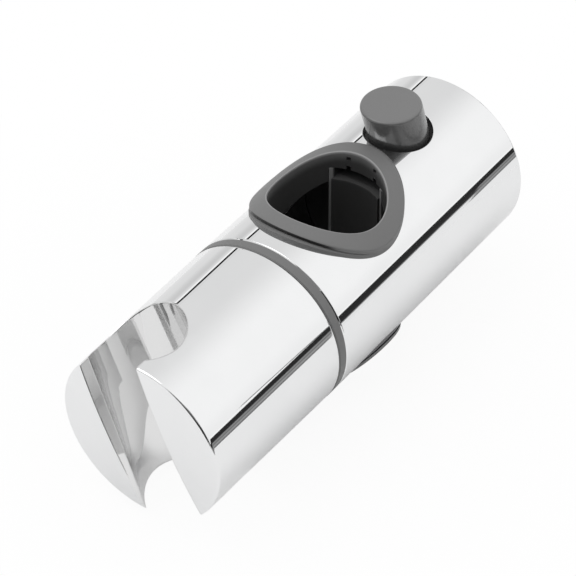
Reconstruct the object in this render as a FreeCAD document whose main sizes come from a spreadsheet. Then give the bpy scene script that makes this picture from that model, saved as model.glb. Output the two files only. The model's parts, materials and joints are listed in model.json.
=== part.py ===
import FreeCAD, Part
import Sketcher
import math
import os

os.makedirs("parts", exist_ok=True)

V = FreeCAD.Vector
X_AXIS = V(1, 0, 0)
Y_AXIS = V(0, 1, 0)
Z_AXIS = V(0, 0, 1)

doc = FreeCAD.newDocument("rail_slider")

# Driving sizes, in millimetres and degrees. X runs along the barrel, Z up along the rail,
# and the origin is where the rail's axis meets the barrel's axis.
sheet = doc.addObject("Spreadsheet::Sheet", "Sizes")

SIZES = [
    ("rail_r", 12.5, "radius of the rail"),
    ("rail_cover", 8.5, "barrel's outside beyond the rail's surface"),
    ("barrel_wall", 1.6, "wall of the barrel tube"),
    ("barrel_front", -22.61, "front wall's outer face"),
    ("front_wall", 2.5, "thickness of the front wall"),
    ("ring_front", -25.11, "front face of the friction ring"),
    ("run_gap", 0.06, "running clearance of turning and sliding fits"),
    ("spigot_r", 9.0, "outer radius of the hollow spigot"),
    ("spigot_bore", 6.0, "inner radius of the hollow spigot"),
    ("spigot_front", -38.0, "front end of the spigot"),
    ("spigot_floor", 2.5, "end wall of the spigot"),
    ("cradle_front", -68.35, "crease of the cradle's front"),
    ("cradle_taper", 0.6, "how much smaller in radius the cradle is at the crease"),
    ("cradle_dome", 1.2, "height of the domed front"),
    ("crease_round", 0.5, "rounding of the crease"),
    ("cradle_wall", 2.2, "wall round the cradle's rear recess"),
    ("cradle_recess", -41.5, "floor of the rear recess"),
    ("cradle_tilt", 24.56, "turn of the cradle about the barrel's axis"),
    ("cone_x", -58.13, "handset bore's axis"),
    ("cone_small", 10.95, "bore radius at the cone's small end"),
    ("cone_large", 13.0, "bore radius at the cone's large end"),
    ("cone_half", 20.0, "half length of the cone"),
    ("slot_half", 8.3, "half width of the hose slot"),
    ("screw_r", 1.9, "pivot screw's shank"),
    ("rail_play", 0.7, "play between the rail and a collar sleeve"),
    ("sleeve_wall", 1.8, "wall of the collar sleeves"),
    ("sleeve_room", 5.8, "barrel's outside to the cylinder that ends the sleeves"),
    ("gasket_t", 0.8, "thickness of the collar gaskets"),
    ("gasket_long", 3.4, "gasket past the sleeve, along the barrel"),
    ("gasket_wide", 1.6, "gasket past the sleeve, across the barrel"),
    ("gasket_gap", 0.25, "shadow gap between gasket and flange"),
    ("flange_t", 0.7, "thickness of the collar flange"),
    ("flange_long", 2.5, "flange past the sleeve, along the barrel"),
    ("flange_wide", 1.9, "flange past the sleeve, across the barrel"),
    ("flange_round", 0.5, "rounding of the flange's outer edge"),
    ("lead_in", 0.3, "rounding of the flange's inner edge"),
    ("window_half", 7.25, "half width of the jaw window in a sleeve"),
    ("window_drop", 3.5, "barrel's outside to the window's top"),
    ("catch_mid", -0.67, "middle of the sleeve's catch holes"),
    ("catch_off", 3.65, "catch holes off their middle"),
    ("catch_half", 0.53, "half width of a catch hole"),
    ("catch_low", 0.95, "barrel's outside to a catch hole's lower edge"),
    ("catch_high", -0.1, "barrel's outside to a catch hole's upper edge"),
    ("nick_depth", 1.0, "depth of the two nicks in the window's top"),
    ("jaw_side", 0.2, "play of the jaw in its window"),
    ("rib_t", 0.75, "thickness of the jaw's side ribs"),
    ("jaw_clear", 0.2, "jaw's ribs below the window's top"),
    ("jaw_step", 2.6, "height of the ribs above the jaw's middle"),
    ("jaw_grip", 0.6, "lining proud of the jaw's hollow"),
    ("jaw_wide", 8.2, "half width of the jaw's back plate"),
    ("jaw_plate", 2.1, "thickness of the jaw's back plate"),
    ("jaw_back", 17.5, "back face of the jaw"),
    ("pad_t", 1.1, "thickness of the rubber linings"),
    ("arm_in", 3.0, "inner face of a jaw arm from the middle"),
    ("arm_out", 5.2, "outer face of a jaw arm"),
    ("arm_top", 0.8, "top of the jaw arms"),
    ("arm_low", -9.5, "bottom of the jaw arms"),
    ("arm_tail", 4.56, "jaw arms past the cross pin"),
    ("carrier_front", 19.2, "front face of the carrier"),
    ("carrier_tail", 3.5, "carrier past the jaw arms"),
    ("cap_room", 5.4, "barrel's back rim past the carrier"),
    ("lean", 18.98, "lean of the button's axis from upright"),
    ("lean_x", 35.13, "where the button's axis crosses the middle plane"),
    ("button_r", 6.9, "radius of the button"),
    ("button_top", 29.54, "height of the button's top"),
    ("button_low", 14.2, "lower rim of the button's skirt along its axis"),
    ("button_wall", 1.4, "wall of the button's skirt"),
    ("button_roof", 2.0, "thickness of the button's top"),
    ("button_travel", 4.5, "how far the button goes in along its axis"),
    ("hole_r", 7.85, "radius of the button's hole in the barrel"),
    ("stem_r", 2.6, "radius of the button's stem"),
    ("stem_low", -4.5, "lower end of the stem along its axis"),
    ("pin_r", 1.25, "radius of the cross pin"),
    ("pin_at", -2.5, "cross pin's place along the button's axis"),
    ("seat_at", 9.5, "seat of the button's spring along its axis"),
    ("coil_y", 5.4, "jaw springs off the middle"),
    ("coil_room", 7.4, "barrel's outside to the middle of the jaw springs"),
    ("coil_bore", 3.1, "radius of the bores for the jaw springs"),
    ("coil_seat", 36.0, "floor of the jaw springs' bores"),
    ("shoe_half", 11.3, "half width of the rail shoe"),
    ("shoe_top", 9.3, "half height of the rail shoe"),
    ("shoe_plate", -15.6, "front of the shoe's back plate"),
    ("shoe_band", 12.5, "half height of the shoe's back plate"),
    ("shoe_tip", -5.0, "front ends of the rail shoe"),
    ("land_r", 14.0, "inner radius of the friction ring's step"),
    ("cap_t", 2.4, "thickness of the end cap's disc"),
    ("fix_x", 31.0, "place of the carrier screw along the barrel"),
]

DERIVED = [
    ("barrel_r", "=rail_r + rail_cover"),
    ("bore_r", "=barrel_r - barrel_wall"),
    ("cradle_front_r", "=barrel_r - cradle_taper"),
    ("dome_r", "=(cradle_front_r^2 + cradle_dome^2) / (2 * cradle_dome)"),
    ("gasket_r", "=barrel_r + gasket_t"),
    ("flange_in", "=gasket_r + gasket_gap"),
    ("flange_top", "=flange_in + flange_t"),
    ("sleeve_in", "=rail_r + rail_play"),
    ("sleeve_out", "=sleeve_in + sleeve_wall"),
    ("sleeve_low", "=barrel_r - sleeve_room"),
    ("gasket_a", "=sleeve_out + gasket_long"),
    ("gasket_b", "=sleeve_out + gasket_wide"),
    ("flange_a", "=sleeve_out + flange_long"),
    ("flange_b", "=sleeve_out + flange_wide"),
    ("window_top", "=barrel_r - window_drop"),
    ("jaw_half", "=window_half - jaw_side"),
    ("jaw_top", "=window_top - jaw_clear"),
    ("jaw_mid", "=jaw_top - jaw_step"),
    ("jaw_hollow", "=rail_r + jaw_grip"),
    ("jaw_neck", "=jaw_back - jaw_plate"),
    ("pad_half", "=jaw_half - rib_t"),
    ("coil_z", "=coil_room - barrel_r"),
    ("opening_r", "=sleeve_out + 0.1"),
    ("socket_r", "=spigot_r + run_gap"),
    ("cos_lean", "=cos(lean * 1deg)"),
    ("sin_lean", "=sin(lean * 1deg)"),
    ("jaw_travel", "=button_travel * sin_lean"),
    ("pin_x", "=lean_x - pin_at * sin_lean"),
    ("pin_z", "=pin_at * cos_lean"),
    ("pin_drop", "=button_travel * cos_lean"),
    ("arm_end", "=pin_x + arm_tail"),
    ("carrier_end", "=arm_end + carrier_tail"),
    ("barrel_back", "=carrier_end + cap_room"),
    ("button_axis_top", "=button_top / cos_lean"),
    ("cut_left", "=(button_top + 12 * sin_lean) / cos_lean"),
    ("cut_right", "=(button_top - 12 * sin_lean) / cos_lean"),
    ("channel_half", "=arm_out + run_gap"),
    ("lining_back", "=rail_r + pad_t"),
    ("head_seat", "=spigot_front + spigot_floor"),
]

row = 1
for alias, number, meaning in SIZES:
    sheet.set("A%d" % row, meaning)
    sheet.set("B%d" % row, str(number))
    sheet.setAlias("B%d" % row, alias)
    row += 1
doc.recompute()
for alias, formula in DERIVED:
    sheet.set("A%d" % row, "worked out")
    sheet.set("B%d" % row, formula)
    sheet.setAlias("B%d" % row, alias)
    row += 1
doc.recompute()


def size(alias):
    """Present value of one cell."""
    return float(getattr(sheet, alias))


def lin(*items):
    """Sum of sizes as a value and as an expression; an item is a name, a number or (factor, name)."""
    total = 0.0
    text = []
    for item in items:
        if isinstance(item, str):
            total += size(item)
            text.append("Sizes." + item)
        elif isinstance(item, tuple):
            total += item[0] * size(item[1])
            text.append("(%s) * Sizes.%s" % (item[0], item[1]))
        else:
            total += item
            text.append("(%s)" % item)
    return total, " + ".join(text)


def as_lin(item):
    if isinstance(item, list):
        return lin(*item)
    return lin(item)


def new_body(name):
    body = doc.addObject("PartDesign::Body", name)
    body.Label = name
    return body


def origin_plane(body, role):
    for feature in body.Origin.OriginFeatures:
        if feature.Role == role:
            return feature
    raise ValueError(role)


def new_sketch(body, name, role, offset=None):
    """Sketch on a plane of the body's origin, moved along the plane's normal by a size."""
    sketch = body.newObject("Sketcher::SketchObject", body.Name + "_" + name)
    sketch.AttachmentSupport = [(origin_plane(body, role), "")]
    sketch.MapMode = "FlatFace"
    if offset is not None:
        value, text = as_lin(offset)
        sketch.AttachmentOffset = FreeCAD.Placement(V(0, 0, value), FreeCAD.Rotation())
        sketch.setExpression("AttachmentOffset.Base.z", text)
    return sketch


def hold(sketch, kind, geo, point, item, label):
    """Ties one point's distance from the sketch's origin to the sheet."""
    value, text = as_lin(item)
    sketch.addConstraint(Sketcher.Constraint(kind, -1, 1, geo, point, value))
    index = sketch.ConstraintCount - 1
    sketch.renameConstraint(index, label)
    sketch.setExpression("Constraints." + label, text)


def polygon(sketch, points, centres=None, start="p"):
    """Closed outline; centres gives, for the side that starts at a point, an arc's centre."""
    centres = centres or {}
    values = [(as_lin(a)[0], as_lin(b)[0]) for a, b in points]
    count = len(points)
    first = sketch.GeometryCount
    for i in range(count):
        a = V(values[i][0], values[i][1], 0)
        b = V(values[(i + 1) % count][0], values[(i + 1) % count][1], 0)
        if i in centres:
            c = V(as_lin(centres[i][0])[0], as_lin(centres[i][1])[0], 0)
            r = (a - c).Length
            angle_a = math.atan2(a.y - c.y, a.x - c.x)
            angle_b = math.atan2(b.y - c.y, b.x - c.x)
            middle = (angle_a + angle_b) / 2
            if abs(angle_a - angle_b) > math.pi:
                middle += math.pi
            m = c + V(r * math.cos(middle), r * math.sin(middle), 0)
            sketch.addGeometry(Part.Arc(a, m, b))
        else:
            sketch.addGeometry(Part.LineSegment(a, b))
    ends = []
    for i in range(count):
        geometry = sketch.Geometry[first + i]
        a = V(values[i][0], values[i][1], 0)
        if isinstance(geometry, Part.ArcOfCircle) and (geometry.StartPoint - a).Length > 1e-6:
            ends.append((2, 1))
        else:
            ends.append((1, 2))
    for i in range(count):
        follower = (i + 1) % count
        sketch.addConstraint(Sketcher.Constraint(
            "Coincident", first + i, ends[i][1], first + follower, ends[follower][0]))
    for i in range(count):
        hold(sketch, "DistanceX", first + i, ends[i][0], points[i][0], "%s%dx" % (start, i))
        hold(sketch, "DistanceY", first + i, ends[i][0], points[i][1], "%s%dy" % (start, i))
        if i in centres:
            hold(sketch, "DistanceY", first + i, 3, centres[i][1], "%s%dc" % (start, i))
    return sketch


def circle(sketch, x, y, radius, start="c"):
    r, text = as_lin(radius)
    centre = V(as_lin(x)[0], as_lin(y)[0], 0)
    geo = sketch.addGeometry(Part.Circle(centre, Z_AXIS, r))
    sketch.addConstraint(Sketcher.Constraint("Radius", geo, r))
    index = sketch.ConstraintCount - 1
    sketch.renameConstraint(index, start + "r")
    sketch.setExpression("Constraints." + start + "r", text)
    hold(sketch, "DistanceX", geo, 3, x, start + "x")
    hold(sketch, "DistanceY", geo, 3, y, start + "y")
    return sketch


def box_outline(sketch, x0, x1, y0, y1, start="b"):
    return polygon(sketch, [(x0, y0), (x1, y0), (x1, y1), (x0, y1)], start=start)


def revolve(body, sketch, groove=False):
    """Turns a profile about the sketch's horizontal axis."""
    kind = "PartDesign::Groove" if groove else "PartDesign::Revolution"
    feature = body.newObject(kind, sketch.Name + "_turned")
    feature.Profile = sketch
    feature.ReferenceAxis = (sketch, ["H_Axis"])
    feature.Angle = 360.0
    sketch.Visibility = False
    return feature


def pad(body, sketch, length, cut=False, middle=False, reverse=False):
    """Pad or pocket by a length that is a size, a sum of sizes or None for right through."""
    kind = "PartDesign::Pocket" if cut else "PartDesign::Pad"
    feature = body.newObject(kind, sketch.Name + ("_cut" if cut else "_solid"))
    feature.Profile = sketch
    if length is None:
        feature.Type = 1
    else:
        value, text = as_lin(length)
        feature.Length = value
        feature.setExpression("Length", text)
    feature.Midplane = middle
    feature.Reversed = reverse
    sketch.Visibility = False
    return feature


def leaning(place_by_axis):
    """Placement whose own Z runs up the button's axis, moved along it."""
    turn = FreeCAD.Rotation(V(0, -1, 0), size("lean"))
    foot = V(size("lean_x"), 0, 0)
    return FreeCAD.Placement(foot + turn.multVec(V(0, 0, place_by_axis)), turn)


def lean_tied(feature, low, path):
    """Sets and ties a placement on the button's axis to the sheet."""
    value, text = as_lin(low)
    setattr(feature, path, leaning(value))
    feature.setExpression(path + ".Base.x", "Sizes.lean_x - Sizes.sin_lean * (" + text + ")")
    feature.setExpression(path + ".Base.z", "Sizes.cos_lean * (" + text + ")")
    feature.setExpression(path + ".Rotation.Angle", "Sizes.lean")


def leaning_bore(body, name, radius, low, length):
    """Cuts a round bore along the button's axis."""
    feature = body.newObject("PartDesign::SubtractiveCylinder", body.Name + "_" + name)
    feature.AttachmentSupport = [(origin_plane(body, "XY_Plane"), "")]
    feature.MapMode = "FlatFace"
    value, text = as_lin(radius)
    feature.Radius = value
    feature.setExpression("Radius", text)
    value, text = as_lin(length)
    feature.Height = value
    feature.setExpression("Height", text)
    lean_tied(feature, low, "AttachmentOffset")
    return feature


def round_bar(name, radius, low, high, axis="X", y=0.0, z=0.0):
    """Cylinder primitive along X or Z, between two sizes."""
    bar = doc.addObject("Part::Cylinder", name)
    value, text = as_lin(radius)
    bar.Radius = value
    bar.setExpression("Radius", text)
    low_value, low_text = as_lin(low)
    high_value, high_text = as_lin(high)
    bar.Height = high_value - low_value
    bar.setExpression("Height", "(" + high_text + ") - (" + low_text + ")")
    if axis == "X":
        bar.Placement = FreeCAD.Placement(V(low_value, y, z), FreeCAD.Rotation(Y_AXIS, 90))
        bar.setExpression("Placement.Base.x", low_text)
    else:
        bar.Placement = FreeCAD.Placement(V(0, y, low_value), FreeCAD.Rotation())
        bar.setExpression("Placement.Base.z", low_text)
    return bar


def block(name, x0, x1, half_y, z0, z1, mid_y=None):
    """Box primitive, even about the middle plane or about another line."""
    item = doc.addObject("Part::Box", name)
    low_x, low_x_text = as_lin(x0)
    high_x, high_x_text = as_lin(x1)
    low_z, low_z_text = as_lin(z0)
    high_z, high_z_text = as_lin(z1)
    half, half_text = as_lin(half_y)
    item.Length = high_x - low_x
    item.setExpression("Length", "(" + high_x_text + ") - (" + low_x_text + ")")
    item.Width = 2 * half
    item.setExpression("Width", "2 * (" + half_text + ")")
    item.Height = high_z - low_z
    item.setExpression("Height", "(" + high_z_text + ") - (" + low_z_text + ")")
    middle, middle_text = as_lin(0.0 if mid_y is None else mid_y)
    item.Placement = FreeCAD.Placement(V(low_x, middle - half, low_z), FreeCAD.Rotation())
    item.setExpression("Placement.Base.x", low_x_text)
    item.setExpression("Placement.Base.y", "(" + middle_text + ") - (" + half_text + ")")
    item.setExpression("Placement.Base.z", low_z_text)
    return item


def minus(name, base, tool):
    item = doc.addObject("Part::Cut", name)
    item.Base = base
    item.Tool = tool
    return item


def common(name, *shapes):
    item = doc.addObject("Part::MultiCommon", name)
    item.Shapes = list(shapes)
    return item


def union(name, *shapes):
    item = doc.addObject("Part::MultiFuse", name)
    item.Shapes = list(shapes)
    return item


# Barrel: turned profile with the front wall and the hollow spigot in one piece.
barrel = new_body("barrel_shell")
profile = new_sketch(barrel, "profile", "XY_Plane")
polygon(profile, [
    ("spigot_front", ["screw_r", 0.5]),
    ("spigot_front", ["spigot_r", -0.5]),
    (["spigot_front", 0.5], "spigot_r"),
    (["barrel_front", -1.5], "spigot_r"),
    (["barrel_front", -1.5], "land_r"),
    ("barrel_front", "land_r"),
    ("barrel_front", ["barrel_r", -0.3]),
    (["barrel_front", 0.3], "barrel_r"),
    (["barrel_back", -0.5], "barrel_r"),
    (["barrel_back", -0.15], ["barrel_r", -0.15]),
    ("barrel_back", ["barrel_r", -0.5]),
    ("barrel_back", "bore_r"),
    (["barrel_front", "front_wall"], "bore_r"),
    (["barrel_front", "front_wall"], "spigot_bore"),
    ("head_seat", "spigot_bore"),
    ("head_seat", ["screw_r", 0.5]),
])
revolve(barrel, profile)
doc.recompute()
openings = new_sketch(barrel, "rail_opening", "XY_Plane")
circle(openings, 0.0, 0.0, "opening_r")
pad(barrel, openings, [(4.0, "barrel_r")], cut=True, middle=True)
doc.recompute()
leaning_bore(barrel, "button_hole", "hole_r", 10.0, 30.0)
doc.recompute()
fixing = new_sketch(barrel, "fixing_hole", "XY_Plane")
circle(fixing, "fix_x", 0.0, 1.6)
pad(barrel, fixing, [(2.0, "barrel_r")], cut=True)
doc.recompute()

# End cap: a disc with a short skirt, pressed into the barrel's back end.
cap = new_body("end_cap")
profile = new_sketch(cap, "profile", "XY_Plane")
polygon(profile, [
    (["barrel_back", -0.4], 0.0),
    (["barrel_back", -0.4], ["bore_r", -0.45]),
    (["barrel_back", -0.8], ["bore_r", -0.05]),
    (["carrier_end", 0.1], ["bore_r", -0.05]),
    (["carrier_end", 0.1], ["bore_r", -1.6]),
    (["barrel_back", -0.4, (-1.0, "cap_t")], ["bore_r", -1.6]),
    (["barrel_back", -0.4, (-1.0, "cap_t")], 0.0),
])
revolve(cap, profile)
doc.recompute()

# Friction ring: sits on the barrel's front step, flush with the outside.
ring = new_body("friction_ring")
profile = new_sketch(ring, "profile", "XY_Plane")
polygon(profile, [
    ("ring_front", ["land_r", 0.1]),
    ("ring_front", ["barrel_r", -0.25]),
    (["ring_front", 0.25], "barrel_r"),
    (["barrel_front", -0.2], "barrel_r"),
    ("barrel_front", ["barrel_r", -0.2]),
    ("barrel_front", ["land_r", 0.1]),
])
revolve(ring, profile)
doc.recompute()

# Cradle: turned outside with a domed front, rear recess and socket; bore and slot cut across.
cradle = new_body("cradle_turned")
profile = new_sketch(cradle, "profile", "XY_Plane")
polygon(profile, [
    (["cradle_front", (-1.0, "cradle_dome")], 0.0),
    (["cradle_front", (-1.0, "cradle_dome")], ["cradle_front_r", (-0.88, "crease_round")]),
    (["cradle_front", (-0.13, "crease_round")], ["cradle_front_r", (-0.88, "crease_round")]),
    (["cradle_front", (-0.04, "crease_round")], ["cradle_front_r", (-0.62, "crease_round")]),
    (["cradle_front", (0.17, "crease_round")], ["cradle_front_r", (-0.29, "crease_round")]),
    (["cradle_front", (0.50, "crease_round")], ["cradle_front_r", (-0.08, "crease_round")]),
    (["cradle_front", (0.88, "crease_round")], "cradle_front_r"),
    (["ring_front", -0.35], ["barrel_r", -0.05]),
    (["ring_front", (-1.0, "run_gap")], ["barrel_r", -0.35]),
    (["ring_front", (-1.0, "run_gap")], ["barrel_r", (-1.0, "cradle_wall")]),
    ("cradle_recess", ["barrel_r", (-1.0, "cradle_wall"), -0.4]),
    ("cradle_recess", ["spigot_r", 2.6]),
    (["ring_front", 0.9], ["spigot_r", 2.6]),
    (["ring_front", 0.9], "socket_r"),
    (["spigot_front", -0.3], "socket_r"),
    (["spigot_front", -0.3], ["screw_r", 0.05]),
    (["spigot_front", -7.2], ["screw_r", 0.05]),
    (["spigot_front", -7.2], 0.0),
])
revolve(cradle, profile)
doc.recompute()
cone = new_sketch(cradle, "cone", "XZ_Plane")
polygon(cone, [
    ("cone_x", [(-1.0, "cone_half"), -2.0]),
    (["cone_x", "cone_large"], [(-1.0, "cone_half"), -2.0]),
    (["cone_x", "cone_small"], ["cone_half", 2.0]),
    ("cone_x", ["cone_half", 2.0]),
])
cone_axis = cone.addGeometry(Part.LineSegment(V(size("cone_x"), 0, 0), V(size("cone_x"), 5, 0)), True)
hold(cone, "DistanceX", cone_axis, 1, "cone_x", "axis_x")
hold(cone, "DistanceX", cone_axis, 2, "cone_x", "axis_xx")
hold(cone, "DistanceY", cone_axis, 1, 0.0, "axis_y")
hold(cone, "DistanceY", cone_axis, 2, 5.0, "axis_yy")
bored = cradle.newObject("PartDesign::Groove", "cradle_cone_turned")
bored.Profile = cone
bored.ReferenceAxis = (cone, ["Axis0"])
bored.Angle = 360.0
cone.Visibility = False
doc.recompute()
slot = new_sketch(cradle, "slot", "XY_Plane")
box_outline(slot, ["cradle_front", -8.0], "cone_x", [(-1.0, "slot_half")], "slot_half")
pad(cradle, slot, [(4.0, "barrel_r")], cut=True, middle=True)
doc.recompute()
cradle.Placement = FreeCAD.Placement(V(0, 0, 0), FreeCAD.Rotation(V(-1, 0, 0), size("cradle_tilt")))
cradle.setExpression("Placement.Rotation.Angle", "Sizes.cradle_tilt")
ball = doc.addObject("Part::Sphere", "cradle_ball")
ball.Radius = size("dome_r")
ball.setExpression("Radius", "Sizes.dome_r")
ball.Placement = FreeCAD.Placement(
    V(size("cradle_front") - size("cradle_dome") + size("dome_r"), 0, 0), FreeCAD.Rotation())
ball.setExpression("Placement.Base.x", "Sizes.cradle_front - Sizes.cradle_dome + Sizes.dome_r")
common("cradle", cradle, ball)
doc.recompute()

# Pivot screw, washer and disc spring, inside the spigot.
screw = new_body("pivot_screw")
profile = new_sketch(screw, "profile", "XY_Plane")
polygon(profile, [
    (["spigot_front", -6.9], 0.0),
    (["spigot_front", -6.9], ["screw_r", -0.6]),
    (["spigot_front", -6.0], "screw_r"),
    (["head_seat", 2.4], "screw_r"),
    (["head_seat", 2.4], 4.4),
    (["head_seat", 4.2], 4.4),
    (["head_seat", 5.0], 3.6),
    (["head_seat", 5.0], 0.0),
])
revolve(screw, profile)
doc.recompute()
for label, wide, tall in (("drive_a", 0.55, 2.4), ("drive_b", 2.4, 0.55)):
    drive = new_sketch(screw, label, "YZ_Plane", ["head_seat", 5.0])
    box_outline(drive, -wide, wide, -tall, tall)
    pad(screw, drive, 1.6, cut=True)
    doc.recompute()

washer = new_body("pivot_washer")
profile = new_sketch(washer, "profile", "XY_Plane")
box_outline(profile, ["head_seat", 1.4], ["head_seat", 2.4], ["screw_r", 0.15], ["spigot_bore", -0.6])
revolve(washer, profile)
doc.recompute()

disc = new_body("disc_spring")
profile = new_sketch(disc, "profile", "XY_Plane")
polygon(profile, [
    (["head_seat", 0.7], ["screw_r", 0.3]),
    (["head_seat", 1.4], ["screw_r", 0.3]),
    (["head_seat", 0.7], ["spigot_bore", -0.4]),
    ("head_seat", ["spigot_bore", -0.4]),
])
revolve(disc, profile)
doc.recompute()


def ellipse_bar(name, half_x, half_y):
    """Upright elliptic bar, made from a sketch so that both halves are sizes."""
    body = new_body(name)
    sketch = new_sketch(body, "outline", "XY_Plane")
    a, a_text = as_lin(half_x)
    b, b_text = as_lin(half_y)
    major = V(a, 0, 0) if a > b else V(0, b, 0)
    minor = V(0, b, 0) if a > b else V(a, 0, 0)
    geo = sketch.addGeometry(Part.Ellipse(major, minor, V(0, 0, 0)))
    sketch.exposeInternalGeometry(geo)
    hold(sketch, "DistanceX", geo, 3, 0.0, "mx")
    hold(sketch, "DistanceY", geo, 3, 0.0, "my")
    long_text = a_text if a > b else b_text
    short_text = b_text if a > b else a_text
    for line, text, value, label in ((geo + 1, long_text, max(a, b), "long"),
                                     (geo + 2, short_text, min(a, b), "short")):
        sketch.addConstraint(Sketcher.Constraint("Distance", line, 2 * value))
        sketch.renameConstraint(sketch.ConstraintCount - 1, label)
        sketch.setExpression("Constraints." + label, "2 * (" + text + ")")
    sketch.addConstraint(Sketcher.Constraint("Horizontal" if a > b else "Vertical", geo + 1))
    pad(body, sketch, [(1.5, "barrel_r")])
    doc.recompute()
    return body


def flip(item, below):
    """Turns a collar or gasket to the underside."""
    if below:
        item.Placement = FreeCAD.Placement(V(0, 0, 0), FreeCAD.Rotation(X_AXIS, 180))


def gasket(name, below):
    blank = ellipse_bar(name + "_blank", "gasket_a", "gasket_b")
    skin = common(name + "_skin", blank, round_bar(name + "_outer", "gasket_r", -30.0, 30.0))
    hollow = minus(name + "_hollow", skin, round_bar(name + "_inner", "barrel_r", -31.0, 31.0))
    item = minus(name, hollow, round_bar(name + "_hole", "opening_r", 0.0, [(2.0, "barrel_r")], "Z"))
    item.Label = name
    flip(item, below)
    return item


def collar(name, below):
    blank = ellipse_bar(name + "_blank", "flange_a", "flange_b")
    plate = minus(name + "_plate", blank, round_bar(name + "_under", "flange_in", -31.0, 31.0))
    tube = round_bar(name + "_tube", "sleeve_out", 0.0, [(1.4, "barrel_r")], "Z")
    cleared = minus(name + "_cleared", tube, round_bar(name + "_clear", "sleeve_low", -31.0, 31.0))
    whole = union(name + "_whole", plate, cleared)
    trimmed = common(name + "_trimmed", whole, round_bar(name + "_over", "flange_top", -30.0, 30.0))
    holed = minus(name + "_holed", trimmed,
                  round_bar(name + "_hole", "sleeve_in", -1.0, [(2.0, "barrel_r")], "Z"))
    cuts = [block(name + "_window", 6.0, 20.0, "window_half", 0.0, "window_top")]
    for label, factor in (("near", -1.0), ("far", 1.0)):
        line = ["catch_mid", (factor, "catch_off")]
        cuts.append(block(name + "_nick_" + label, 6.0, 20.0, "catch_half",
                          ["window_top", -0.5], ["window_top", "nick_depth"], line))
        cuts.append(block(name + "_catch_" + label, 6.0, ["sleeve_out", 1.0], "catch_half",
                          ["barrel_r", (-1.0, "catch_low")], ["barrel_r", (-1.0, "catch_high")], line))
    window = minus(name + "_windowed", holed, union(name + "_cuts", *cuts))
    doc.recompute()
    inner = []
    outer = []
    for number, edge in enumerate(window.Shape.Edges, 1):
        points = edge.discretize(9)
        on_top = all(abs(math.hypot(p.y, p.z) - size("flange_top")) < 0.02 for p in points)
        if not on_top:
            continue
        far = min(math.hypot(p.x, p.y) for p in points)
        if far > size("sleeve_out"):
            outer.append(number)
        elif abs(far - size("sleeve_in")) < 0.05:
            inner.append(number)
    item = doc.addObject("Part::Fillet", name)
    item.Base = window
    rounds = [(n, size("flange_round"), size("flange_round")) for n in outer]
    rounds += [(n, size("lead_in"), size("lead_in")) for n in inner]
    item.Edges = rounds
    window.Visibility = False
    item.Label = name
    flip(item, below)
    return item


gasket("top_gasket", False)
gasket("bottom_gasket", True)
collar("top_collar", False)
collar("bottom_collar", True)
doc.recompute()

# Rail shoe: a round back plate against the front wall and a block hollowed for the rail.
plate = round_bar("shoe_disc", ["bore_r", -0.1], ["barrel_front", "front_wall", 0.1], "shoe_plate")
plate_band = common("shoe_plate_band", plate, block("shoe_band_box", ["barrel_front", -2.0], 0.0,
                                                    "barrel_r", [(-1.0, "shoe_band")], "shoe_band"))
shoe_block = block("shoe_block", ["shoe_plate", -0.5], "shoe_tip", "shoe_half",
                   [(-1.0, "shoe_top")], "shoe_top")
shoe_whole = union("shoe_whole", plate_band, shoe_block)
shoe = minus("rail_shoe", shoe_whole,
             round_bar("shoe_hollow", "lining_back", [(-1.0, "barrel_r")], "barrel_r", "Z"))
shoe.Label = "rail_shoe"
shoe_ring = minus("shoe_ring", round_bar("shoe_ring_out", ["lining_back", -0.05],
                                         [(-1.0, "shoe_top")], "shoe_top", "Z"),
                  round_bar("shoe_ring_in", "rail_r", [(-1.0, "barrel_r")], "barrel_r", "Z"))
shoe_pad = common("shoe_pad", shoe_ring,
                  block("shoe_pad_box", [(-1.2, "rail_r")], "shoe_tip", ["shoe_half", -0.6],
                        [(-1.0, "shoe_top")], "shoe_top"))
shoe_pad.Label = "shoe_pad"
doc.recompute()

# Jaw: hollow block with two tall ribs, a wider back plate for the springs, and two slotted arms
# that reach back to the cross pin.
jaw = new_body("clamp_jaw")
front = new_sketch(jaw, "block", "XY_Plane")
polygon(front, [
    (9.2, [(-1.0, "jaw_half")]),
    ("jaw_neck", [(-1.0, "jaw_half")]),
    ("jaw_neck", [(-1.0, "jaw_wide")]),
    ("jaw_back", [(-1.0, "jaw_wide")]),
    ("jaw_back", "jaw_wide"),
    ("jaw_neck", "jaw_wide"),
    ("jaw_neck", "jaw_half"),
    (9.2, "jaw_half"),
])
pad(jaw, front, [(2.0, "jaw_top")], middle=True)
doc.recompute()
hollow = new_sketch(jaw, "hollow", "XY_Plane")
circle(hollow, 0.0, 0.0, "jaw_hollow")
pad(jaw, hollow, [(3.0, "jaw_top")], cut=True, middle=True)
doc.recompute()
seat = new_sketch(jaw, "pad_seat", "XY_Plane")
polygon(seat, [
    (9.0, [(-1.0, "pad_half")]),
    ("lining_back", [(-1.0, "pad_half")]),
    ("lining_back", "pad_half"),
    (9.0, "pad_half"),
])
pad(jaw, seat, [(3.0, "jaw_top")], cut=True, middle=True)
doc.recompute()
for label, side in (("step_up", 1.0), ("step_down", -1.0)):
    step = new_sketch(jaw, label, "XY_Plane", [(side, "jaw_mid")])
    box_outline(step, 8.0, 20.0, [(-1.0, "pad_half")], "pad_half")
    pad(jaw, step, 6.0, cut=True, reverse=side > 0)
    doc.recompute()
for label, near, far in (("arm_left", "arm_in", "arm_out"),
                         ("arm_right", (-1.0, "arm_out"), (-1.0, "arm_in"))):
    arm = new_sketch(jaw, label, "XY_Plane", "arm_low")
    box_outline(arm, ["jaw_back", -1.0], "arm_end", [near], [far])
    pad(jaw, arm, ["arm_top", (-1.0, "arm_low")])
    doc.recompute()
guide = new_sketch(jaw, "pin_slot", "XZ_Plane")
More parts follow.
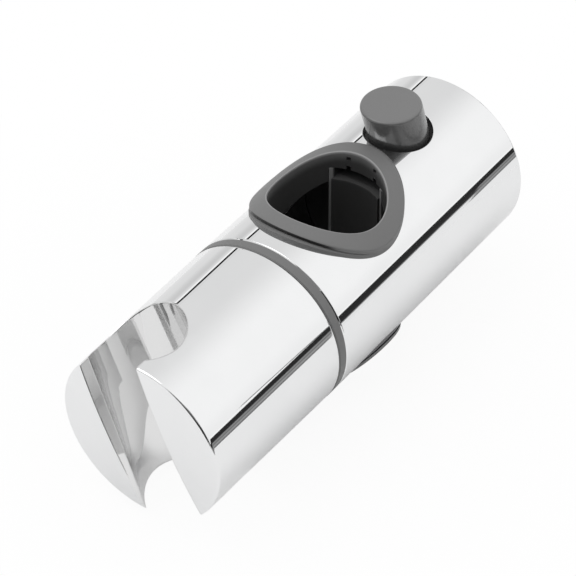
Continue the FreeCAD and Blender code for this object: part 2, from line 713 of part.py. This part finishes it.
box_outline(guide, ["pin_x", (-1.0, "pin_r"), -0.06], ["pin_x", "pin_r", 0.06],
            ["pin_z", (-1.0, "pin_drop"), (-1.0, "pin_r"), -0.25], ["pin_z", "pin_r", 0.15])
pad(jaw, guide, 14.0, cut=True, middle=True)
doc.recompute()

jaw_ring = minus("jaw_ring", round_bar("jaw_ring_out", ["lining_back", 3.0],
                                       [(-1.0, "jaw_mid")], "jaw_mid", "Z"),
                 round_bar("jaw_ring_in", "rail_r", [(-1.0, "barrel_r")], "barrel_r", "Z"))
jaw_pad = common("jaw_pad", jaw_ring,
                 block("jaw_pad_box", 8.0, ["lining_back", -0.04], ["pad_half", -0.05],
                       [(-1.0, "jaw_mid")], "jaw_mid"))
jaw_pad.Label = "jaw_pad"
doc.recompute()

# Carrier: round block with the button's guide, the channel for the arms and two spring bores.
carrier = new_body("carrier")
disc_outline = new_sketch(carrier, "disc", "YZ_Plane", "carrier_front")
circle(disc_outline, 0.0, 0.0, ["bore_r", -0.1])
pad(carrier, disc_outline, ["carrier_end", (-1.0, "carrier_front")])
doc.recompute()
channel = new_sketch(carrier, "channel", "YZ_Plane", ["carrier_front", -1.0])
box_outline(channel, [(-1.0, "channel_half")], "channel_half",
            ["arm_low", -0.3], ["arm_top", "run_gap"])
pad(carrier, channel, [(2.0, "carrier_end")], cut=True, reverse=True)
doc.recompute()
bores = new_sketch(carrier, "spring_bores", "YZ_Plane", "carrier_front")
circle(bores, "coil_y", "coil_z", "coil_bore", start="c")
circle(bores, [(-1.0, "coil_y")], "coil_z", "coil_bore", start="d")
pad(carrier, bores, ["coil_seat", (-1.0, "carrier_front")], cut=True, reverse=True)
doc.recompute()
leaning_bore(carrier, "guide", ["button_r", "run_gap"], "seat_at", 30.0)
doc.recompute()
leaning_bore(carrier, "stem_way", ["stem_r", "run_gap"], -1.0, 14.0)
doc.recompute()
cores = new_sketch(carrier, "cores", "YZ_Plane", "carrier_end")
box_outline(cores, 7.6, 15.0, -8.0, 9.0, start="b")
box_outline(cores, -15.0, -7.6, -8.0, 9.0, start="e")
pad(carrier, cores, 20.0, cut=True)
doc.recompute()
pilot = new_sketch(carrier, "pilot", "XY_Plane", ["arm_low", -2.0])
circle(pilot, "fix_x", 0.0, 1.15)
pad(carrier, pilot, 20.0, cut=True)
doc.recompute()

# Button: leaning cap with a stem, its top cut level.
button = new_body("button")
outline = new_sketch(button, "outline", "XZ_Plane")
polygon(outline, [
    (0.0, "stem_low"),
    ("stem_r", "stem_low"),
    ("stem_r", ["button_axis_top", (-1.0, "button_roof"), -2.5]),
    (["button_r", (-1.0, "button_wall")], ["button_axis_top", (-1.0, "button_roof"), -2.5]),
    (["button_r", (-1.0, "button_wall")], "button_low"),
    ("button_r", "button_low"),
    ("button_r", ["button_axis_top", 6.0]),
    (0.0, ["button_axis_top", 6.0]),
])
turned = button.newObject("PartDesign::Revolution", "button_turned")
turned.Profile = outline
turned.ReferenceAxis = (outline, ["V_Axis"])
turned.Angle = 360.0
outline.Visibility = False
doc.recompute()
level = new_sketch(button, "level", "XZ_Plane")
polygon(level, [
    (-12.0, "cut_left"),
    (12.0, "cut_right"),
    (12.0, ["button_axis_top", 20.0]),
    (-12.0, ["button_axis_top", 20.0]),
])
pad(button, level, 40.0, cut=True, middle=True)
doc.recompute()
through = new_sketch(button, "pin_hole", "XZ_Plane")
circle(through, 0.0, "pin_at", "pin_r")
pad(button, through, 20.0, cut=True, middle=True)
doc.recompute()
rim = []
for number, edge in enumerate(button.Shape.Edges, 1):
    points = edge.discretize(7)
    if len(edge.Vertexes) < 3 and min(p.z for p in points) > size("cut_right") + 0.3:
        rim.append("Edge%d" % number)
pierced = button.Tip
softened = button.newObject("PartDesign::Fillet", "button_rim")
softened.Base = (pierced, rim)
softened.Radius = 0.6
doc.recompute()
lean_tied(button, 0.0, "Placement")

pin = doc.addObject("Part::Cylinder", "cross_pin")
pin.Label = "cross_pin"
pin.Radius = size("pin_r")
pin.setExpression("Radius", "Sizes.pin_r")
pin.Height = 2 * size("arm_out")
pin.setExpression("Height", "2 * Sizes.arm_out")
pin.Placement = FreeCAD.Placement(V(size("pin_x"), size("arm_out"), size("pin_z")),
                                  FreeCAD.Rotation(X_AXIS, 90))
pin.setExpression("Placement.Base.x", "Sizes.pin_x")
pin.setExpression("Placement.Base.y", "Sizes.arm_out")
pin.setExpression("Placement.Base.z", "Sizes.pin_z")

# Carrier screw: countersunk from below.
fix = new_body("carrier_screw")
profile = new_sketch(fix, "profile", "XZ_Plane")
polygon(profile, [
    (0.0, [(-1.0, "barrel_r")]),
    (2.4, [(-1.0, "barrel_r")]),
    (2.4, [(-1.0, "barrel_r"), -0.6]),
    (0.0, [(-1.0, "barrel_r"), -0.9]),
])
fix_head = fix.newObject("PartDesign::Revolution", "carrier_screw_head")
fix_head.Profile = profile
fix_head.ReferenceAxis = (profile, ["V_Axis"])
fix_head.Angle = 360.0
profile.Visibility = False
doc.recompute()
shank = new_sketch(fix, "shank", "XY_Plane", [(-1.0, "barrel_r"), -0.2])
circle(shank, 0.0, 0.0, 1.1)
pad(fix, shank, ["barrel_r", "arm_low", -2.2])
doc.recompute()
fix.Placement = FreeCAD.Placement(V(size("fix_x"), 0, 0), FreeCAD.Rotation())
fix.setExpression("Placement.Base.x", "Sizes.fix_x")


def coil(name, mean, wire, height, turns):
    """Coil spring along its own Z, swept round a helix."""
    helix = doc.addObject("Part::Helix", name + "_line")
    helix.Radius = mean
    value, text = as_lin(height)
    run = value - wire
    helix.Height = run
    helix.setExpression("Height", "(" + text + ") - (%s)" % wire)
    helix.Pitch = run / turns
    helix.setExpression("Pitch", "((" + text + ") - (%s)) / %s" % (wire, turns))
    helix.Placement = FreeCAD.Placement(V(0, 0, wire / 2), FreeCAD.Rotation())
    ring_wire = doc.addObject("Part::Circle", name + "_section")
    ring_wire.Radius = wire / 2
    ring_wire.Placement = FreeCAD.Placement(V(mean, 0, wire / 2), FreeCAD.Rotation(X_AXIS, 90))
    sweep = doc.addObject("Part::Sweep", name)
    sweep.Label = name
    sweep.Sections = [ring_wire]
    sweep.Spine = (helix, [])
    sweep.Solid = True
    sweep.Frenet = True
    return sweep


spring_base = ["seat_at", 0.1]
spring_roof = ["button_axis_top", (-1.0, "button_roof"), -2.6]
button_spring = coil("button_spring", 4.0, 0.8,
                     ["button_axis_top", (-1.0, "button_roof"), -2.7, (-1.0, "seat_at")], 6)
doc.recompute()
lean_tied(button_spring, spring_base, "Placement")
for name, side in (("jaw_spring_1", 1.0), ("jaw_spring_2", -1.0)):
    jaw_spring = coil(name, 2.4, 0.7, ["coil_seat", (-1.0, "jaw_back"), -0.2], 7)
    doc.recompute()
    jaw_spring.Placement = FreeCAD.Placement(
        V(size("jaw_back") + 0.1, side * size("coil_y"), size("coil_z")), FreeCAD.Rotation(Y_AXIS, 90))
    jaw_spring.setExpression("Placement.Base.x", "Sizes.jaw_back + 0.1")
    jaw_spring.setExpression("Placement.Base.y", "(%s) * Sizes.coil_y" % side)
    jaw_spring.setExpression("Placement.Base.z", "Sizes.coil_z")
doc.recompute()

NODES = [
    "barrel_shell", "end_cap", "friction_ring", "cradle", "pivot_screw", "pivot_washer",
    "disc_spring", "top_gasket", "top_collar", "bottom_gasket", "bottom_collar", "rail_shoe",
    "shoe_pad", "clamp_jaw", "jaw_pad", "jaw_spring_1", "jaw_spring_2", "carrier", "button",
    "cross_pin", "button_spring", "carrier_screw",
]

for item in doc.Objects:
    if "Invalid" in item.State or "Error" in item.State:
        raise ValueError("feature not built: " + item.Name)
for name in NODES:
    node = doc.getObject(name)
    if node.Shape.isNull() or not node.Shape.isValid():
        raise ValueError("shape not sound: " + name)
    node.Shape.exportStep("parts/" + name + ".step")
    print(name, "volume", round(node.Shape.Volume, 1), "solids", len(node.Shape.Solids))
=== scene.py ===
import json
import math

import bpy
from mathutils import Matrix, Vector


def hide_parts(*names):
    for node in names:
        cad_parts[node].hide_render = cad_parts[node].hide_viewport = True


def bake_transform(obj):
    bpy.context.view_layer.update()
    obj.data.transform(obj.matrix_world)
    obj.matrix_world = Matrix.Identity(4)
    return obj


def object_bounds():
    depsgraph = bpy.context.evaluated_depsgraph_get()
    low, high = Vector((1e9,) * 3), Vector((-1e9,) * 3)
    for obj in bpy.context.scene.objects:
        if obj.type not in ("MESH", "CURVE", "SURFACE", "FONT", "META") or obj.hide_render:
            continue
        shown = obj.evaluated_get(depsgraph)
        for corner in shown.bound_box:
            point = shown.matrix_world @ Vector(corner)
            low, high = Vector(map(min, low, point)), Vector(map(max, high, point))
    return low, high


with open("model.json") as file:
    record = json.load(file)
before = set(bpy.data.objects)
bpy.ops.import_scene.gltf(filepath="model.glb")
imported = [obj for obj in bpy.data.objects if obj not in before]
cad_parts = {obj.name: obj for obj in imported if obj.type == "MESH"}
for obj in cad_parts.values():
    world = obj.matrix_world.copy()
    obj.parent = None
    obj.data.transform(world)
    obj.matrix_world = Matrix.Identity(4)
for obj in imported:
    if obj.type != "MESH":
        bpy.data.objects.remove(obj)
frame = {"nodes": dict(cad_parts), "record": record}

# Lengths are in metres. As in the part, X runs along the barrel and Z along the rail.
CONE_X = -0.05813  # the axis of the cradle's bore crosses the barrel's here
CONE_SIN, CONE_COS = 0.41563, 0.90953  # lean of the bore from the rail
CONE_NARROWING = 0.05125  # loss of the bore's radius per length, going up
CONE_EDGE = (0.01230, 0.01215)  # the painted shade fades out behind the bore's wall
SLOT_EDGE = (0.0086, 0.0084)  # and behind the slot's wall
LEAN_SIN, LEAN_COS = 0.325251, 0.945628  # lean of the button from the rail

# Camera, fitted to the photograph: its direction, its roll and its way from the origin.
AZIMUTH = math.radians(-54.466)
ELEVATION = math.radians(41.331)
ROLL = math.radians(0.407)
DISTANCE = 0.604595
ASIDE = 0.008635
BELOW = -0.005202
LENS_MM = 168.28
SENSOR_MM = 36.0

FLOOR_RADIUS = 0.15
FLOOR_GAP = 0.0002  # the floor lies this far under the lowest point
FLOOR_GLOW = 0.12  # share of the floor's own light in mirrored and transmitted rays
FLAG_Y = -0.6  # the flags stand this far out on the near side
TENT_LEVEL = 0.995

# A fresh Blender file may bring its own cube, lamp and camera.
for name in ("Cube", "Light", "Camera"):
    if name in bpy.data.objects:
        bpy.data.objects.remove(bpy.data.objects[name])
cad_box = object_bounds()
scene = bpy.context.scene
scene.view_settings.view_transform = "Standard"
# The polished bore mirrors itself many times over.
scene.cycles.max_bounces = 16
scene.cycles.glossy_bounces = 14


class Sock:
    """One node output; sums, differences, products and powers of it add Math nodes."""

    def __init__(self, board, out):
        self.board = board
        self.out = out

    def __add__(self, other):
        return self.board.math("ADD", self, other)

    def __sub__(self, other):
        return self.board.math("SUBTRACT", self, other)

    def __rsub__(self, other):
        return self.board.math("SUBTRACT", other, self)

    def __mul__(self, other):
        return self.board.math("MULTIPLY", self, other)

    def __pow__(self, other):
        return self.board.math("POWER", self, other)

    __radd__ = __add__
    __rmul__ = __mul__


class Board:
    """Node tree of one material or of the world."""

    def __init__(self, tree):
        self.tree = tree
        tree.nodes.clear()

    def feed(self, socket, value):
        if isinstance(value, Sock):
            self.tree.links.new(value.out, socket)
        else:
            socket.default_value = value

    def node(self, kind, settings=None, values=None, out=0):
        made = self.tree.nodes.new(kind)
        for key, value in (settings or {}).items():
            setattr(made, key, value)
        for key, value in (values or {}).items():
            self.feed(made.inputs[key], value)
        return Sock(self, made.outputs[out]) if made.outputs else None

    def math(self, operation, first, second):
        return self.node("ShaderNodeMath", {"operation": operation}, {0: first, 1: second})

    def place(self):
        return self.node("ShaderNodeTexCoord", out="Object")

    def noise(self, scale, detail, rough):
        return self.node("ShaderNodeTexNoise", None, {
            "Vector": self.place(), "Scale": scale, "Detail": detail, "Roughness": rough})

    def split(self, vector):
        """The three axes of a vector, by name."""
        axes = self.node("ShaderNodeSeparateXYZ", None, {"Vector": vector}).out.node.outputs
        return {name: Sock(self, axes[name]) for name in "XYZ"}

    def along(self, name):
        """Place on one axis."""
        return self.split(self.place())[name]

    def away(self, first, second):
        """Distance from the axis that is square to the two named ones."""
        one = self.along(first)
        two = self.along(second)
        return (one * one + two * two) ** 0.5

    def step(self, value, start, end):
        """0 up to start, 1 from end on; start may be the larger one."""
        return self.node("ShaderNodeMapRange", {"interpolation_type": "SMOOTHSTEP"},
                         {"Value": value, "From Min": start, "From Max": end})

    def band(self, value, rise, full, hold, gone):
        """0 up to rise, 1 from full to hold, 0 again from gone on."""
        return self.step(value, rise, full) * (1.0 - self.step(value, hold, gone))

    def mix(self, share, first, second):
        return self.node("ShaderNodeMix", {"data_type": "RGBA"},
                         {0: share, 6: first, 7: second}, out=2)

    def zoned(self, shade, zones):
        """The shade with the tones of the zones laid over it."""
        for mask, tone in (zones(self) if zones else ()):
            shade = self.mix(mask, shade, tone)
        return shade

    def bump(self, height, strength, distance, over=None):
        values = {"Height": height, "Strength": strength, "Distance": distance}
        if over is not None:
            values["Normal"] = over
        return self.node("ShaderNodeBump", None, values)

    def principled(self, values):
        self.output(self.node("ShaderNodeBsdfPrincipled", None, values))

    def output(self, shader, kind="ShaderNodeOutputMaterial"):
        self.node(kind, None, {"Surface": shader})


def finish_board(name):
    finish = bpy.data.materials.new(name)
    finish.use_nodes = True
    return finish, Board(finish.node_tree)


def grey(level, cool=0.0):
    return (level * (1.0 - cool), level, level * (1.0 + cool), 1.0)


def chrome(name, edge, zones=None):
    """Bright plating with faint haze, softened edges and the slight waviness of a moulding."""
    finish, board = finish_board(name)
    haze = board.noise(55.0, 3.0, 0.6)
    specks = board.noise(900.0, 2.0, 0.5)
    shade = board.zoned(board.mix(haze, grey(0.86, 0.006), grey(0.92, 0.003)), zones)
    wave = board.noise(38.0, 1.0, 0.4)
    soft_edge = board.node("ShaderNodeBevel", {"samples": 16}, {"Radius": edge})
    board.principled({
        "Base Color": shade, "Metallic": 1.0, "Roughness": 0.015 + haze * 0.03 + specks * 0.01,
        "Normal": board.bump(wave, 0.10, 0.0002, soft_edge)})
    return finish


def moulded(name, dark, light, rough, grain_scale, grain_depth, level=0.5, zones=None):
    """Moulded plastic with a fine spark-eroded grain and a slight mottle."""
    finish, board = finish_board(name)
    cloud = board.noise(70.0, 4.0, 0.6)
    grain = board.noise(grain_scale, 3.0, 0.65)
    shade = board.zoned(board.mix(cloud * 0.7 + grain * 0.3, grey(dark), grey(light)), zones)
    board.principled({
        "Base Color": shade, "Roughness": rough + cloud * 0.08 + grain * 0.05,
        "Specular IOR Level": level, "Normal": board.bump(grain, 0.35, grain_depth)})
    return finish


def drawn_steel(name):
    """Plain spring and screw steel with fine drawing marks."""
    finish, board = finish_board(name)
    marks = board.noise(600.0, 3.0, 0.6)
    cloud = board.noise(120.0, 2.0, 0.5)
    board.principled({
        "Base Color": board.mix(cloud, grey(0.42), grey(0.60, 0.01)), "Metallic": 1.0,
        "Roughness": 0.24 + marks * 0.16, "Normal": board.bump(marks, 0.3, 0.00005)})
    return finish


# Zones: pairs of a mask by position on the piece and the tone that it gets; each zone below paints
# light or shade into the colour.
def bore_painted_shade(board):
    """A little darker base colour in the cone and in the slot: painted shade in the recess."""
    across = board.along("Y") * CONE_COS - board.along("Z") * CONE_SIN
    up = board.along("Y") * CONE_SIN + board.along("Z") * CONE_COS
    out = board.along("X") - CONE_X
    wall = (out * out + across * across) ** 0.5 + up * CONE_NARROWING
    bore = board.step(wall, *CONE_EDGE)
    slot = board.step((across * across) ** 0.5, *SLOT_EDGE) * board.step(out, 0.0, -0.002)
    return ((board.math("MAXIMUM", bore, slot), grey(0.81)),)


def collar_painted_light(board):
    """Painted shade inside the sleeve, a near-black painted shadow in the groove under the flange,
    and a painted highlight on the inner lip.
    """
    reach = board.away("Y", "Z")
    sleeve = board.away("X", "Y")
    inside = board.step(reach, 0.0223, 0.0196) * board.step(sleeve, 0.0146, 0.0143)
    slanted = reach + board.along("X") * 0.012
    groove = board.step(reach, 0.02165, 0.02172) * board.step(slanted, 0.02244, 0.02236)
    sideways = (board.along("Y") * board.along("Y")) ** 0.5
    groove = groove * board.step(sleeve, 0.0146, 0.0149) * board.step(sideways, 0.0122, 0.0096)
    groove = groove * board.step(board.along("X"), 0.002, -0.002)
    lip = board.step(reach, 0.0220, 0.0222) * board.step(sleeve, 0.01362, 0.01348)
    return ((inside, grey(0.052)), (groove, grey(0.006)), (lip, grey(0.30)))


def button_painted_shade(board):
    """Painted shade on the sides below the level top, darkest lower down where the skirt runs in
    the guide.
    """
    rise = board.along("Z")
    return ((board.step(rise, 0.02945, 0.0291), grey(0.125)),
            (board.step(rise, 0.0262, 0.0180), grey(0.070)))


def jaw_painted_highlight(board):
    """Front edges of the ribs, lighter as a painted edge highlight."""
    return ((board.step(board.along("X"), 0.0124, 0.0115), grey(0.25)),)


def lining_painted_highlight(board):
    """Upper edge of the jaw's lining, lighter as a painted edge highlight."""
    return ((board.step(board.along("Z"), 0.0141, 0.0146), grey(0.06)),)


FINISHES = {
    "chrome_barrel": chrome("barrel chrome", 0.0002),
    "chrome_cradle": chrome("cradle chrome", 0.0005, bore_painted_shade),
    "grey_collar": moulded("collar plastic", 0.160, 0.195, 0.40, 1500.0, 0.00003,
                           zones=collar_painted_light),
    "grey_trim": moulded("trim plastic", 0.160, 0.195, 0.44, 1500.0, 0.00003),
    "grey_button": moulded("button plastic", 0.175, 0.205, 0.14, 1700.0, 0.00001,
                           zones=button_painted_shade),
    "jaw_plastic": moulded("jaw plastic", 0.034, 0.050, 0.45, 1200.0, 0.00004,
                           zones=jaw_painted_highlight),
    "dark_plastic": moulded("carrier plastic", 0.040, 0.055, 0.50, 1200.0, 0.00004),
    "rubber": moulded("lining rubber", 0.030, 0.042, 0.72, 1800.0, 0.00005, 0.3,
                      lining_painted_highlight),
    "steel": drawn_steel("spring steel"),
}
for row in frame["record"]["subparts"]:
    for place in frame["nodes"][row["node"]].material_slots:
        place.material = FINISHES[row["material_slot"]]


def closing_coil(name, towards_head):
    """Copy of a coil that closes up, put in place of the packed one, which is hidden; the ends of
    its reach towards the head are worked out but not used.
    """
    packed = frame["nodes"][name]
    coil = bpy.data.objects.new(name + "_coil", packed.data.copy())
    bpy.context.collection.objects.link(coil)
    coil.matrix_world = packed.matrix_world
    reach = [(coil.matrix_world @ point.co).dot(towards_head) for point in coil.data.vertices]
    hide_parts(name)
    towards_head * min(reach)
    towards_head * max(reach)
    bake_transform(coil)


closing_coil("button_spring", Vector((-LEAN_SIN, 0.0, LEAN_COS)))
closing_coil("jaw_spring_1", Vector((-1.0, 0.0, 0.0)))
closing_coil("jaw_spring_2", Vector((-1.0, 0.0, 0.0)))


# Camera at the photograph's viewing angle.
back = Vector((math.sin(AZIMUTH) * math.cos(ELEVATION),
               -math.cos(AZIMUTH) * math.cos(ELEVATION), math.sin(ELEVATION)))
level_right = (-back).cross(Vector((0.0, 0.0, 1.0))).normalized()
level_down = (-back).cross(level_right)
right = level_right * math.cos(ROLL) + level_down * math.sin(ROLL)
down = level_down * math.cos(ROLL) - level_right * math.sin(ROLL)
spot = back * DISTANCE - right * ASIDE - down * BELOW
lens = bpy.data.cameras.new("view")
lens.lens = LENS_MM
lens.sensor_width = SENSOR_MM
lens.clip_start = 0.02
lens.clip_end = 20.0
camera = bpy.data.objects.new("view", lens)
bpy.context.collection.objects.link(camera)
turn = Matrix((right, -down, back)).transposed()
camera.matrix_world = Matrix.Translation(spot) @ turn.to_4x4()
scene.camera = camera


# Studio: a pale tent, drawn by the angle round the barrel's axis (0 up, 90 level on the near side).
world = bpy.data.worlds.new("tent")
world.use_nodes = True
scene.world = world
board = Board(world.node_tree)
direction = board.split(board.node("ShaderNodeTexCoord", out="Generated"))
near_side = 0.0 - direction["Y"]
height = direction["Z"]
around = board.math("ARCTAN2", near_side, height) * math.degrees(1.0)
bearing = board.math("ARCTAN2", direction["X"], near_side) * math.degrees(1.0)

# Soft bands: where each rises, is full, still holds and is gone, and what it adds to the light.
BANDS = {
    "far wall": (-137.0, -93.0, -26.0, 30.0, -0.215),
    "far fold": (-92.0, -77.5, -76.0, -71.0, -0.135),
    "far lip": (-70.2, -69.6, -68.2, -67.6, 0.28),
    "far crease": (-62.2, -61.2, -60.4, -59.6, -0.05),
    "near foot": (66.0, 87.0, 88.3, 88.6, -0.06),
    "near lip": (88.3, 88.9, 89.7, 90.2, 0.07),
    "table": (103.0, 104.0, 180.0, 181.0, -0.11),
}
level = TENT_LEVEL
for rise, full, hold, gone, added in BANDS.values():
    level = level + board.band(around, rise, full, hold, gone) * added

# Dark seams round the axis, and a dark card in three parts by bearing (0 on the near side,
# -90 past the cradle) and height. They take most of the light away.
far_seam = board.band(around, -67.5, -66.9, -64.5, -63.9)
near_gap = board.band(around, 89.8, 90.3, 95.8, 96.2)
near_skirt = board.band(around, 95.8, 96.2, 103.2, 103.8)
skirt_lines = (board.band(around, 96.6, 97.0, 97.4, 97.8)
               + board.band(around, 99.2, 99.6, 101.4, 101.8))
upper_card = (board.band(bearing, -90.0, -82.0, -14.0, -4.0)
              * board.band(height, 0.36, 0.40, 0.66, 0.74))
middle_card = (board.band(bearing, -94.0, -88.0, -14.0, -4.0)
               * board.band(height, -0.12, -0.08, 0.36, 0.40))
lower_card = (board.band(bearing, -100.0, -94.0, -60.0, -54.0)
              * board.band(height, -0.48, -0.42, 0.0, 0.04))
dark_card = board.math("MAXIMUM", upper_card * 0.8,
                       board.math("MAXIMUM", middle_card, lower_card))
level = level * (1.0 - far_seam) * (1.0 - near_gap * 0.975) * (1.0 - dark_card * 0.96)
level = level * (1.0 - near_skirt * (0.82 - skirt_lines * 0.13))
tent = board.node("ShaderNodeBackground", None, {"Color": grey(1.0), "Strength": level})
white = board.node("ShaderNodeBackground", None, {"Color": grey(1.0), "Strength": 1.0})
seen = board.node("ShaderNodeLightPath", out="Is Camera Ray")
board.output(board.node("ShaderNodeMixShader", None, {0: seen, 1: tent, 2: white}),
             "ShaderNodeOutputWorld")


# Floor: keeps the part's shadow near it and runs out into the white background.
bpy.ops.object.select_all(action="DESELECT")
bpy.ops.mesh.primitive_circle_add(vertices=128, radius=FLOOR_RADIUS, fill_type="NGON",
                                  location=(-0.01, 0.0, cad_box[0][2] - FLOOR_GAP))
floor = bpy.context.object
floor.name = "floor"
finish, board = finish_board("pale floor")
cloud = board.noise(6.0, 2.0, 0.5)
plain = board.node("ShaderNodeBsdfDiffuse", None,
                   {"Color": board.mix(cloud, grey(0.90), grey(0.93))})
glow = board.node("ShaderNodeEmission", None, {"Color": grey(1.0), "Strength": 1.0})
rays = board.node("ShaderNodeLightPath").out.node.outputs
seen, mirrored, through = (
    Sock(board, rays[name]) for name in ("Is Camera Ray", "Is Glossy Ray", "Is Transmission Ray"))
distance = board.node("ShaderNodeVectorMath", {"operation": "LENGTH"}, {0: board.place()}, out=1)
open_floor = board.node("ShaderNodeMapRange", {"interpolation_type": "SMOOTHSTEP"}, {
    "Value": distance, "From Min": 0.03, "From Max": 0.12, "To Min": 0.92, "To Max": 1.0})
glowing = seen * open_floor + mirrored * FLOOR_GLOW + through * FLOOR_GLOW
share = board.math("MINIMUM", glowing, 1.0)
board.output(board.node("ShaderNodeMixShader", None, {0: share, 1: plain, 2: glow}))
floor.data.materials.append(finish)


def flag(name, tone, x_from, x_to, z_from, z_to, drop=0.0):
    """Thin upright board far out on the near side, which no camera ray sees."""
    bpy.ops.object.select_all(action="DESELECT")
    bpy.ops.mesh.primitive_plane_add(size=1.0, location=(0.0, 0.0, 0.0))
    card = bpy.context.object
    card.name = name
    corners = [(x_from, z_from), (x_to, z_from - drop), (x_from, z_to), (x_to, z_to - drop)]
    for corner, (x, z) in zip(card.data.vertices, corners):
        corner.co = (x, FLAG_Y, z)
    finish, board = finish_board(name)
    mottle = board.noise(9.0, 2.0, 0.5)
    board.output(board.node("ShaderNodeEmission", None, {
        "Color": board.mix(mottle, grey(tone * 0.95), grey(tone * 1.05)), "Strength": 1.0}))
    card.data.materials.append(finish)
    card.visible_camera = False


flag("thin flag", 0.25, 0.335, 0.405, 0.040, 0.052, drop=0.038)
flag("dark flag", 0.03, 0.413, 0.560, -0.081, -0.046)
flag("pale flag", 0.86, 0.413, 0.560, -0.136, -0.096)


def softbox(name, place, wide, power):
    """Square lamp that looks at the origin."""
    lamp = bpy.data.lights.new(name, "AREA")
    lamp.shape = "SQUARE"
    lamp.size = wide
    lamp.energy = power
    holder = bpy.data.objects.new(name, lamp)
    bpy.context.collection.objects.link(holder)
    holder.location = place
    holder.rotation_euler = (-Vector(place)).to_track_quat("-Z", "Y").to_euler()


softbox("top softbox", (-0.25, 0.35, 0.9), 0.7, 2.5)
